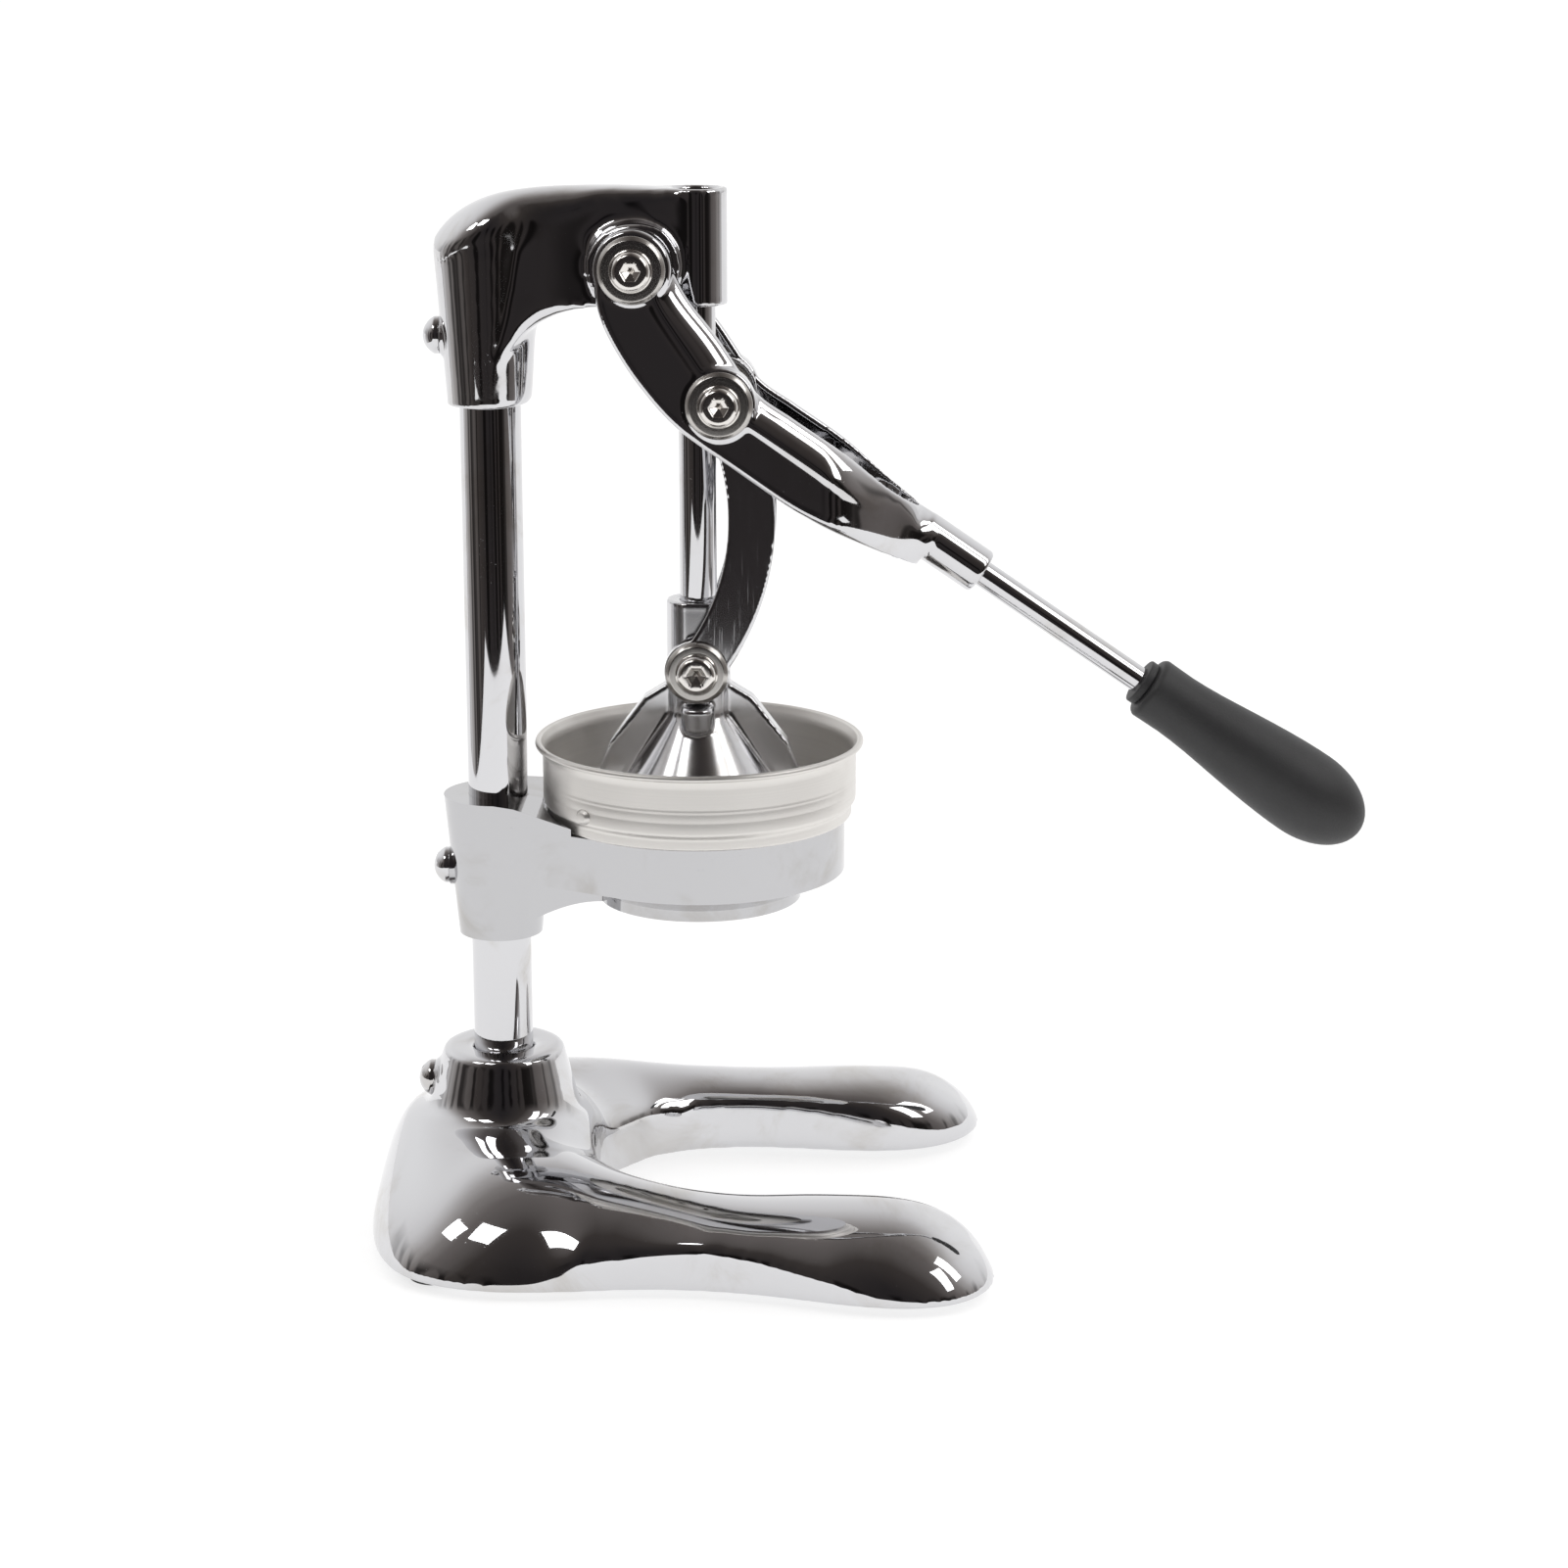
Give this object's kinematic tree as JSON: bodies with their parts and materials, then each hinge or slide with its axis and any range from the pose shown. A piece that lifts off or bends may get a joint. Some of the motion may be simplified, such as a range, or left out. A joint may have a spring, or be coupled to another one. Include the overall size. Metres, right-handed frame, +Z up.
{
  "type": "manual citrus press",
  "caption": "Chromed hand citrus press: a forked lever with a black grip lowers a sliding bell into a juice cup, held on a column above a U-shaped base.",
  "frame": {"origin": "middle of the whole press in plan, on the table under its feet", "axes": "+Z up, +X from the column towards the grip, +Y to the far side of the picture"},
  "size_m": [0.383, 0.227, 0.4],
  "materials": {
    "cast_chrome": "mirror plated",
    "bar_chrome": "mirror plated",
    "link_chrome": "plated, lightly marked",
    "steel_hardware": "turned",
    "bearing_bush": "plain",
    "satin_steel": "satin",
    "black_grip": "fine grain",
    "black_rubber": "matt"
  },
  "bodies": {
    "stand": {"base_casting": "cast_chrome", "rubber_feet": "black_rubber", "foot_screws": "steel_hardware", "base_set_screw": "steel_hardware", "column": "bar_chrome", "bowl_bracket": "cast_chrome", "bracket_set_screw": "steel_hardware", "juice_cup": "satin_steel", "strainer_cone": "satin_steel", "head_casting": "cast_chrome", "head_set_screw": "steel_hardware", "guide_bush": "bearing_bush", "head_pivot_screws": "steel_hardware", "head_pivot_washers": "steel_hardware"},
    "lever": {"lever_fork": "cast_chrome", "fork_bushes": "bearing_bush", "link_pins": "steel_hardware", "link_pin_washers": "steel_hardware", "link_lock_nuts": "steel_hardware", "handle_rod": "bar_chrome", "grip_ferrule": "black_grip", "grip": "black_grip"},
    "press": {"press_bell": "cast_chrome", "guide_rod": "bar_chrome", "press_pivot_screws": "steel_hardware", "press_pivot_washers": "steel_hardware"},
    "links": {"near_link": "link_chrome", "far_link": "link_chrome", "link_bushes": "bearing_bush"}
  },
  "joints": [
    {"name": "lever_pivot", "type": "hinge", "parent": "stand", "child": "lever", "pos_m": [-0.08651, 0, 0.3715], "axis": [0, -1, 0], "range_deg": [0, 60]},
    {"name": "press_slide", "type": "slide", "parent": "stand", "child": "press", "axis": [0, 0, 1], "range_m": [0, 0.0566]},
    {"name": "link_swing", "type": "hinge", "parent": "press", "child": "links", "pos_m": [-0.06401, 0, 0.22], "axis": [0, 1, 0], "range_deg": [0, 18.3]}
  ],
  "couplings": [
    {"joint": "press_slide", "follows": "lever_pivot", "m_per_rad": 0.0539},
    {"joint": "link_swing", "follows": "lever_pivot", "ratio": 0.3}
  ]
}
